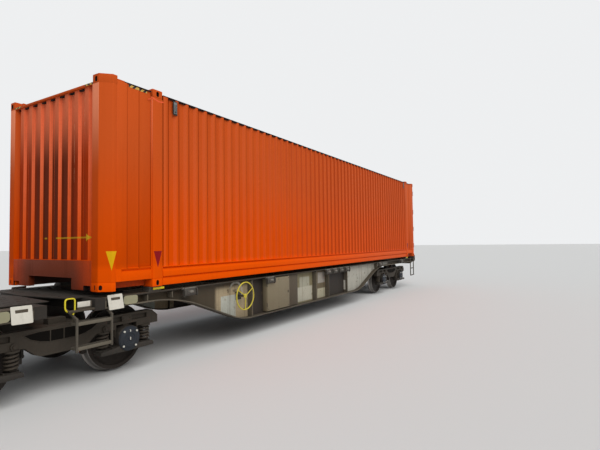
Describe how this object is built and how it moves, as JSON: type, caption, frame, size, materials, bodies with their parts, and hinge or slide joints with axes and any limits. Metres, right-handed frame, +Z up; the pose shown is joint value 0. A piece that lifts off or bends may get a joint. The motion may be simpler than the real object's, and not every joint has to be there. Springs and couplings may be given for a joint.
{
  "type": "articulated container flat wagon with container",
  "caption": "Articulated railway flat wagon: fish-bellied platforms hinged over a shared bogie, carrying an orange corrugated steel shipping container.",
  "frame": {"origin": "under the middle pivot, level with the feet of the wheel flanges, 28 mm below the rail tops", "axes": "+X along the wagon towards the loaded end, +Y across to the left, +Z up"},
  "size_m": [29.59, 2.614, 4.0788],
  "materials": {
    "container_orange": "semi-gloss orange paint on folded steel",
    "underframe_dark": "dark waxy underseal over paint",
    "floor_wood": "oiled plywood",
    "rod_zinc": "dull galvanised steel",
    "vent_grey": "moulded grey plastic",
    "wagon_grey": "grey-brown paint under road and brake dirt",
    "bogie_brown": "brown brake dust over grey paint",
    "spring_steel": "dark dusty steel",
    "wheel_steel": "dark steel, treads polished by the rails",
    "safety_yellow": "yellow gloss paint",
    "plate_white": "dull white paint",
    "cabinet_beige": "faded beige paint",
    "buffer_dark": "greased dark steel",
    "tank_black": "dusty black paint"
  },
  "bodies": {
    "loaded_platform": {"box_bottom_rails": "container_orange", "box_castings": "container_orange", "box_door_frame": "container_orange", "box_floor": "floor_wood", "box_floor_beams": "underframe_dark", "box_front_sill": "container_orange", "box_front_wall": "container_orange", "box_posts": "container_orange", "box_roof": "container_orange", "box_side_wall_left": "container_orange", "box_side_wall_right": "container_orange", "box_top_rails": "container_orange", "box_vents": "vent_grey", "loaded_air_reservoirs": "tank_black", "loaded_articulation": "wagon_grey", "loaded_buffers": "buffer_dark", "loaded_cabinets": "cabinet_beige", "loaded_centre_plates": "wagon_grey", "loaded_cross_members": "wagon_grey", "loaded_draw_gear": "buffer_dark", "loaded_hand_brake": "safety_yellow", "loaded_headstock": "wagon_grey", "loaded_load_plates": "plate_white", "loaded_side_girders": "wagon_grey", "loaded_spigots": "wagon_grey", "loaded_steps": "wagon_grey"},
    "empty_platform": {"empty_air_reservoirs": "tank_black", "empty_articulation": "wagon_grey", "empty_buffers": "buffer_dark", "empty_cabinets": "cabinet_beige", "empty_centre_plates": "wagon_grey", "empty_cross_members": "wagon_grey", "empty_draw_gear": "buffer_dark", "empty_headstock": "wagon_grey", "empty_load_plates": "plate_white", "empty_side_girders": "wagon_grey", "empty_spigots": "wagon_grey", "empty_steps": "wagon_grey"},
    "door_left": {"box_door_left": "container_orange", "box_lock_rods_left": "rod_zinc"},
    "door_right": {"box_door_right": "container_orange", "box_lock_rods_right": "rod_zinc"},
    "bogie_1": {"bogie_1_axleboxes": "bogie_brown", "bogie_1_brakes": "bogie_brown", "bogie_1_frame": "bogie_brown", "bogie_1_springs": "spring_steel"},
    "bogie_2": {"bogie_2_axleboxes": "bogie_brown", "bogie_2_brakes": "bogie_brown", "bogie_2_frame": "bogie_brown", "bogie_2_springs": "spring_steel"},
    "bogie_3": {"bogie_3_axleboxes": "bogie_brown", "bogie_3_brakes": "bogie_brown", "bogie_3_frame": "bogie_brown", "bogie_3_springs": "spring_steel"},
    "wheelset_1": {"wheelset_1": "wheel_steel"},
    "wheelset_2": {"wheelset_2": "wheel_steel"},
    "wheelset_3": {"wheelset_3": "wheel_steel"},
    "wheelset_4": {"wheelset_4": "wheel_steel"},
    "wheelset_5": {"wheelset_5": "wheel_steel"},
    "wheelset_6": {"wheelset_6": "wheel_steel"}
  },
  "joints": [
    {"name": "bogie_2_yaw", "type": "hinge", "parent": "loaded_platform", "child": "bogie_2", "pos_m": [0, 0, 0.93], "axis": [0, 0, 1], "range_deg": [-5, 5]},
    {"name": "empty_platform_yaw", "type": "hinge", "parent": "bogie_2", "child": "empty_platform", "pos_m": [0, 0, 0.93], "axis": [0, 0, 1], "range_deg": [-5, 5]},
    {"name": "bogie_1_yaw", "type": "hinge", "parent": "empty_platform", "child": "bogie_1", "pos_m": [-11.995, 0, 0.93], "axis": [0, 0, 1], "range_deg": [-5, 5]},
    {"name": "bogie_3_yaw", "type": "hinge", "parent": "loaded_platform", "child": "bogie_3", "pos_m": [11.995, 0, 0.93], "axis": [0, 0, 1], "range_deg": [-5, 5]},
    {"name": "wheelset_1_spin", "type": "hinge", "parent": "bogie_1", "child": "wheelset_1", "pos_m": [-12.895, 0, 0.488], "axis": [0, 1, 0], "continuous": true},
    {"name": "wheelset_2_spin", "type": "hinge", "parent": "bogie_1", "child": "wheelset_2", "pos_m": [-11.095, 0, 0.488], "axis": [0, 1, 0], "continuous": true},
    {"name": "wheelset_3_spin", "type": "hinge", "parent": "bogie_2", "child": "wheelset_3", "pos_m": [-0.9, 0, 0.488], "axis": [0, 1, 0], "continuous": true},
    {"name": "wheelset_4_spin", "type": "hinge", "parent": "bogie_2", "child": "wheelset_4", "pos_m": [0.9, 0, 0.488], "axis": [0, 1, 0], "continuous": true},
    {"name": "wheelset_5_spin", "type": "hinge", "parent": "bogie_3", "child": "wheelset_5", "pos_m": [11.095, 0, 0.488], "axis": [0, 1, 0], "continuous": true},
    {"name": "wheelset_6_spin", "type": "hinge", "parent": "bogie_3", "child": "wheelset_6", "pos_m": [12.895, 0, 0.488], "axis": [0, 1, 0], "continuous": true},
    {"name": "door_left_hinge", "type": "hinge", "parent": "loaded_platform", "child": "door_left", "pos_m": [14.117, 1.262, 2.6], "axis": [0, 0, 1], "range_deg": [0, 250]},
    {"name": "door_right_hinge", "type": "hinge", "parent": "loaded_platform", "child": "door_right", "pos_m": [14.117, -1.262, 2.6], "axis": [0, 0, -1], "range_deg": [0, 250]}
  ]
}
